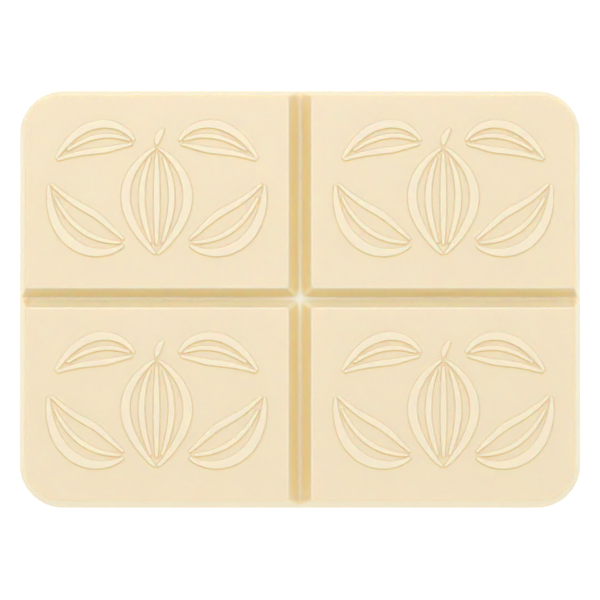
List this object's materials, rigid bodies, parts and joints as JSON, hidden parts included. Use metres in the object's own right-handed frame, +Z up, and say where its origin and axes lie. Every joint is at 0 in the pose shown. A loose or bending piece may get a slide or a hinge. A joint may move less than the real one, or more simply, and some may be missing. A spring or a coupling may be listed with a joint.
{
  "type": "chocolate bar",
  "caption": "White chocolate bar cast in one piece: flat blocks divided by crossing V grooves, large round corners, a low relief of a cocoa pod and leaves on each block.",
  "frame": {"origin": "middle of the flat underside, which is the bottom centre of the bar's box", "axes": "+X along the long side, +Y along the short side towards the top edge of the picture, +Z up out of the moulded face"},
  "size_m": [0.08, 0.0596, 0.0074],
  "materials": {
    "white_chocolate": "ivory white chocolate, moulded smooth with a soft satin sheen on top, poured and levelled underneath"
  },
  "bodies": {
    "root": {"chocolate_bar": "white_chocolate"}
  },
  "joints": []
}
